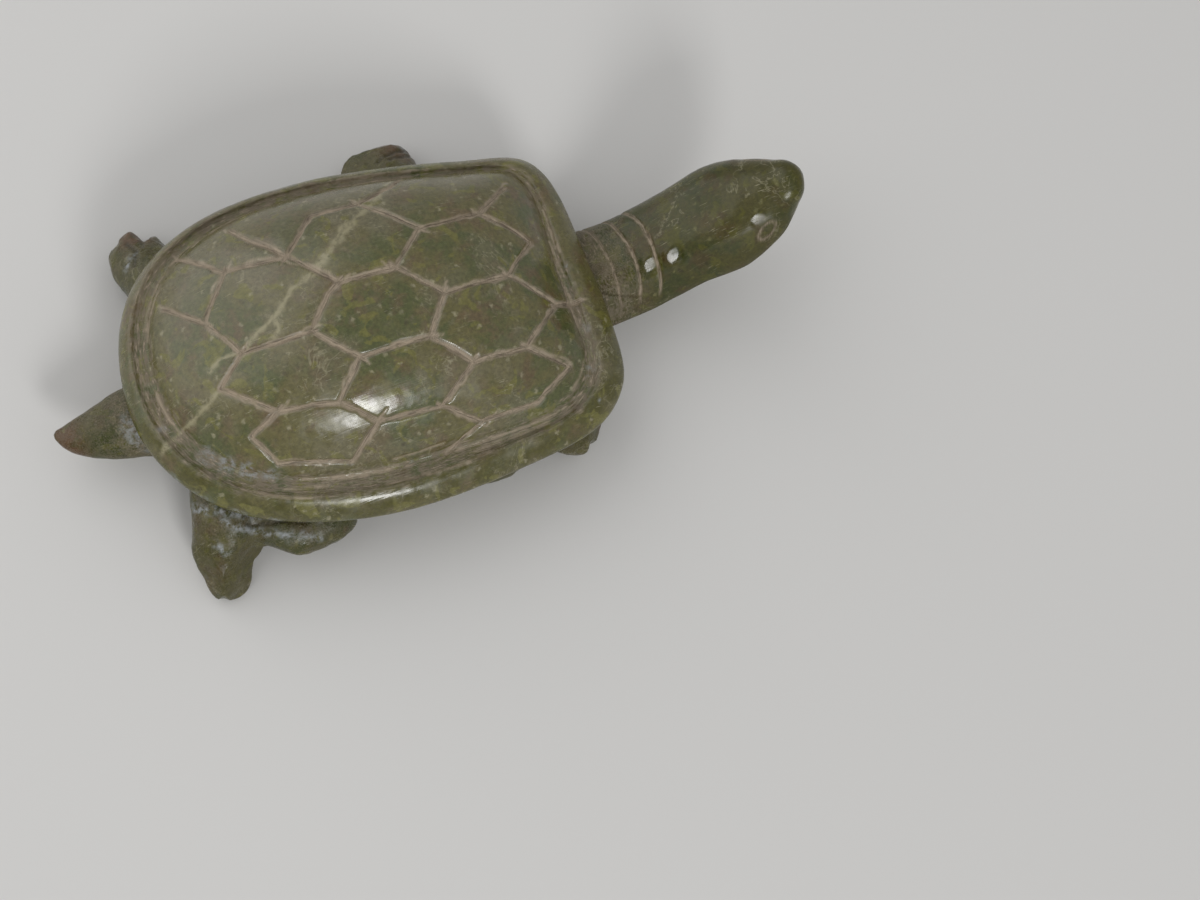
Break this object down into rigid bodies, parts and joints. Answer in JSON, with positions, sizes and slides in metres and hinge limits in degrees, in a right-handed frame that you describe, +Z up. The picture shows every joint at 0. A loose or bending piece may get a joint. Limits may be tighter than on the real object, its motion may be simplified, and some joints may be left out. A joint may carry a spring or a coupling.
{
  "type": "turtle figurine",
  "caption": "Small carved stone turtle ornament with a domed, line-carved shell, raised head, short tail and flat-soled feet.",
  "frame": {"origin": "on the table, under the middle of the figurine's bounding box", "axes": "+X towards the snout, +Y towards the turtle's left side, +Z up"},
  "size_m": [0.0894, 0.0471, 0.022],
  "materials": {
    "shell_stone": "polished",
    "limb_stone": "satin"
  },
  "bodies": {
    "root": {"carapace": "shell_stone", "belly": "shell_stone", "head_and_neck": "limb_stone", "tail": "limb_stone", "front_left_leg": "limb_stone", "front_right_leg": "limb_stone", "hind_left_leg": "limb_stone", "hind_right_leg": "limb_stone"}
  },
  "joints": []
}
